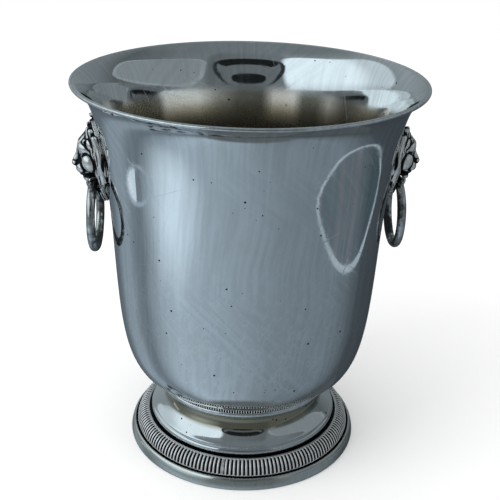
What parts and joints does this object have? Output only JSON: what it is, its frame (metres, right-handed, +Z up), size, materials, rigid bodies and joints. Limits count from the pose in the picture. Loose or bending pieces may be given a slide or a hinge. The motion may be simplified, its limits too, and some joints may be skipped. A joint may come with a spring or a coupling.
{
  "type": "champagne bucket",
  "caption": "Flared silver-plated wine cooler on a spread foot, with a milled collar, a gadrooned foot band and lion mask drop ring handles.",
  "frame": {"origin": "middle of the face that the foot stands on", "axes": "+Z up through the middle of the bowl; the handles face +X and -X"},
  "size_m": [0.2086, 0.2056, 0.2354],
  "materials": {
    "silver_polished": "polished silver plate with fine scratches and light tarnish",
    "silver_worn": "worn silver plate, dark in the grooves",
    "silver_oxidised": "cast silver plate, oxidised black in the hollows and bright on the high points"
  },
  "bodies": {
    "bucket": {"bowl_shell": "silver_polished", "rim_wire": "silver_polished", "foot_collar": "silver_worn", "neck_ring": "silver_polished", "foot_shell": "silver_polished", "fillet_wire": "silver_worn", "gadroon_band": "silver_worn", "base_ring": "silver_worn", "lion_mask_right": "silver_oxidised", "ring_staple_right": "silver_oxidised", "lion_mask_left": "silver_oxidised", "ring_staple_left": "silver_oxidised"},
    "ring_right": {"ring_right": "silver_worn"},
    "ring_left": {"ring_left": "silver_worn"}
  },
  "joints": [
    {"name": "ring_right_swing", "type": "hinge", "parent": "bucket", "child": "ring_right", "pos_m": [0.0915, 0, 0.173], "axis": [0, -1, 0], "range_deg": [-10, 110]},
    {"name": "ring_left_swing", "type": "hinge", "parent": "bucket", "child": "ring_left", "pos_m": [-0.0915, 0, 0.173], "axis": [0, 1, 0], "range_deg": [-10, 110]}
  ]
}
